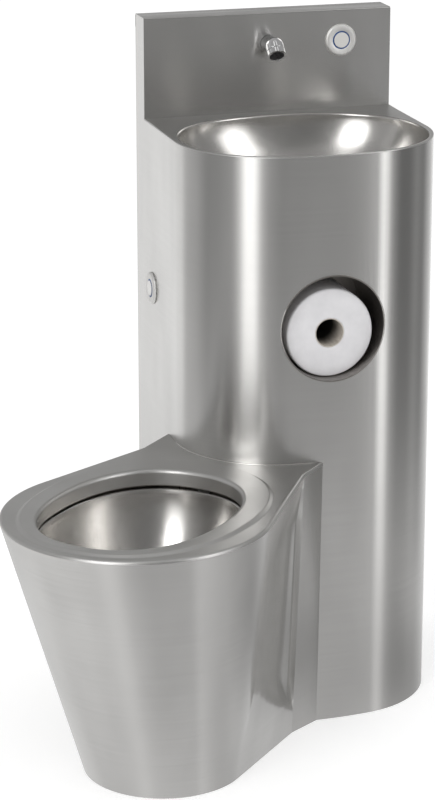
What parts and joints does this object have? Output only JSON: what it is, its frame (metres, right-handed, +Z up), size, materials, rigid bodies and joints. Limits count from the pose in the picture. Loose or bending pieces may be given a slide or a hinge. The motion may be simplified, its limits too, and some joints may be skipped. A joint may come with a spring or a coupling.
{
  "type": "toilet and basin combination unit",
  "caption": "Steel column with a basin, push-button tap, paper roll recess and a toilet pan at 45 degrees on its left, with traps, valves and pipes inside.",
  "frame": {"origin": "on the floor, in the wall plane, at the middle of the column's back", "axes": "+Z up, X to the right as seen from the front, the front faces -Y"},
  "size_m": [0.7353, 0.6993, 1.045],
  "materials": {
    "brushed_steel": "brushed stainless steel sheet, satin",
    "polished_steel": "pressed stainless steel, polished",
    "dark_steel": "stainless steel seen in shade, satin",
    "plain_steel": "mill finish",
    "chrome": "bright chrome",
    "pale_cap": "smooth",
    "blue_ring": "smooth, translucent",
    "dark_plastic": "matt",
    "pipe_plastic": "matt",
    "box_plastic": "matt",
    "black_rubber": "matt",
    "brass": "plain",
    "lever_paint": "gloss",
    "paper": "soft, matt",
    "core_card": "matt"
  },
  "bodies": {
    "unit": {"column_shell": "brushed_steel", "deck_plate": "brushed_steel", "splashback_panel": "brushed_steel", "back_frame": "plain_steel", "floor_angle_left": "plain_steel", "floor_angle_right": "plain_steel", "basin_bowl": "polished_steel", "basin_strainer": "polished_steel", "strainer_gasket": "black_rubber", "strainer_nut": "plain_steel", "basin_trap": "pipe_plastic", "trap_union_nuts": "pipe_plastic", "pan_skirt": "brushed_steel", "pan_top": "brushed_steel", "pan_bowl": "polished_steel", "flush_rim": "dark_steel", "pan_trap": "pipe_plastic", "soil_pipe": "pipe_plastic", "soil_seal": "black_rubber", "recess_liner": "dark_steel", "recess_back": "dark_steel", "spout": "chrome", "aerator_ring": "chrome", "aerator_insert": "dark_plastic", "spout_gasket": "black_rubber", "spout_nut": "plain_steel", "tap_bezel": "chrome", "tap_halo": "blue_ring", "tap_spring": "plain_steel", "tap_switch": "dark_plastic", "tap_button_nut": "plain_steel", "flush_bezel": "chrome", "flush_halo": "blue_ring", "flush_spring": "plain_steel", "flush_switch": "dark_plastic", "flush_button_nut": "plain_steel", "supply_pipe": "brass", "stop_valve": "brass", "flush_valve": "dark_plastic", "flush_pipe": "pipe_plastic", "tap_valve": "dark_plastic", "tap_pipe": "brass", "control_box": "box_plastic", "control_box_lid": "box_plastic", "control_box_screws": "plain_steel", "pipe_clips": "plain_steel"},
    "tap_cap": {"tap_cap": "pale_cap"},
    "flush_cap": {"flush_cap": "pale_cap"},
    "roll_core": {"roll_core": "core_card"},
    "toilet_roll": {"toilet_roll": "paper"},
    "stop_lever": {"stop_lever": "lever_paint"}
  },
  "joints": [
    {"name": "tap_press", "type": "slide", "parent": "unit", "child": "tap_cap", "axis": [0, 1, 0], "range_m": [0, 0.002], "stiffness_N_per_m": 400, "springref_m": -0.004, "deforming": ["tap_spring"]},
    {"name": "flush_press", "type": "slide", "parent": "unit", "child": "flush_cap", "axis": [1, 0, 0], "range_m": [0, 0.002], "stiffness_N_per_m": 400, "springref_m": -0.004, "deforming": ["flush_spring"]},
    {"name": "roll_pull", "type": "slide", "parent": "unit", "child": "roll_core", "axis": [0, -1, 0], "range_m": [0, 0.12]},
    {"name": "roll_turn", "type": "hinge", "parent": "roll_core", "child": "toilet_roll", "pos_m": [0, -0.3, 0.6148], "axis": [0, 1, 0], "continuous": true},
    {"name": "stop_lever_turn", "type": "hinge", "parent": "unit", "child": "stop_lever", "pos_m": [0.13, -0.047, 0.396], "axis": [0, 1, 0], "range_deg": [0, 90]}
  ]
}
